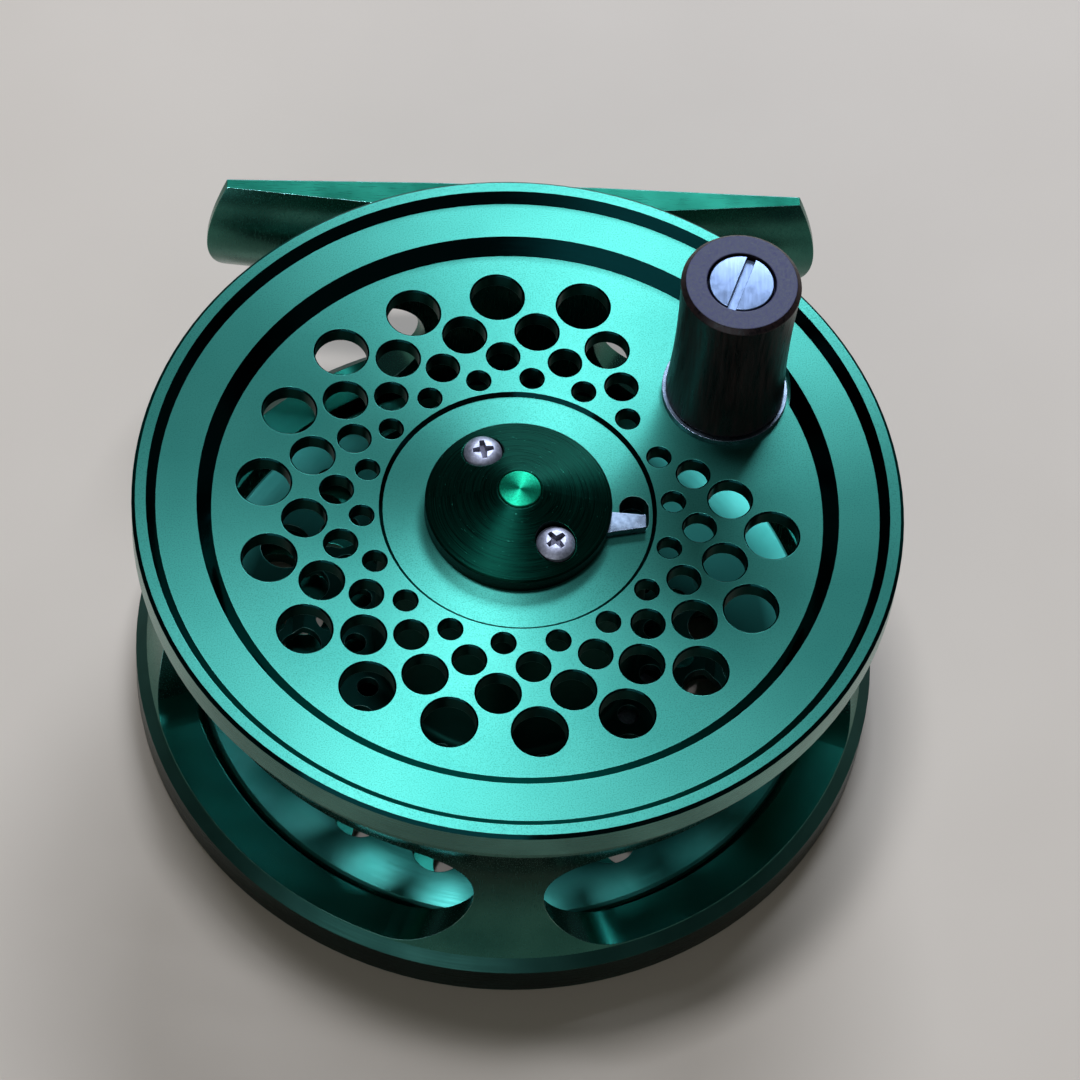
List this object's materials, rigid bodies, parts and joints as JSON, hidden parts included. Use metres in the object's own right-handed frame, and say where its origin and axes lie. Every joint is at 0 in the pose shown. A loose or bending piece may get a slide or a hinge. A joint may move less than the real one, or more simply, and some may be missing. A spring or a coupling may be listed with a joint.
{
  "type": "fly reel",
  "caption": "Large drilled fly reel with a one-piece cage, spool with turning wooden handle knob, quick-release latch under a hub cap, click pawls and a curved reel foot.",
  "frame": {"origin": "on the spool's axis, in the plane of the cage's back face, on which the reel lies", "axes": "+Z along the spool's axis from the back plate to the drilled face and knob, +Y from the axis to the reel foot, +X along the foot's length, to the right when the face is seen with the foot at the top"},
  "size_m": [0.076, 0.0825, 0.05],
  "materials": {
    "frame_metal": "satin green anodised",
    "spool_metal": "satin green anodised, bead blasted face",
    "cap_metal": "dark green anodised, fine turned lines",
    "spindle_metal": "bright green anodised, turned end",
    "steel": "satin",
    "chrome": "polished",
    "screw_chrome": "satin",
    "brass": "machined",
    "knob_wood": "oiled dark wood"
  },
  "bodies": {
    "frame": {"frame": "frame_metal", "reel_foot": "frame_metal", "foot_screws": "steel", "spindle": "spindle_metal", "spindle_screw": "steel", "thrust_washer": "brass", "pawl_posts": "steel", "pawl_spring_screws": "steel", "right_pawl_spring": "steel", "left_pawl_spring": "steel"},
    "spool": {"spool": "spool_metal", "spool_lower_bush": "brass", "spool_upper_bush": "brass", "hub_cap": "cap_metal", "cap_screws": "steel", "click_gear": "brass", "knob_washer": "chrome", "knob_sleeve": "brass", "knob_screw": "screw_chrome"},
    "knob": {"knob": "knob_wood"},
    "latch": {"latch_lever": "chrome", "latch_spring": "steel"},
    "right_pawl": {"right_pawl": "steel"},
    "left_pawl": {"left_pawl": "steel"}
  },
  "joints": [
    {"name": "spool_spin", "type": "hinge", "parent": "frame", "child": "spool", "pos_m": [0, 0, 0.015], "axis": [0, 0, 1], "continuous": true},
    {"name": "knob_spin", "type": "hinge", "parent": "spool", "child": "knob", "pos_m": [0.02069, 0.01438, 0.04], "axis": [0, 0, 1], "continuous": true},
    {"name": "latch_swing", "type": "hinge", "parent": "spool", "child": "latch", "pos_m": [-0.00358, 0.00513, 0.0305], "axis": [0, 0, 1], "range_deg": [0, 5.5], "stiffness_Nm_per_rad": 0.002, "springref_deg": -5.73},
    {"name": "right_pawl_rock", "type": "hinge", "parent": "frame", "child": "right_pawl", "pos_m": [0.01163, -0.00814, 0.003], "axis": [0, 0, 1], "range_deg": [-12, 12], "stiffness_Nm_per_rad": 0.002},
    {"name": "left_pawl_rock", "type": "hinge", "parent": "frame", "child": "left_pawl", "pos_m": [-0.01163, -0.00814, 0.003], "axis": [0, 0, 1], "range_deg": [-12, 12], "stiffness_Nm_per_rad": 0.002}
  ]
}
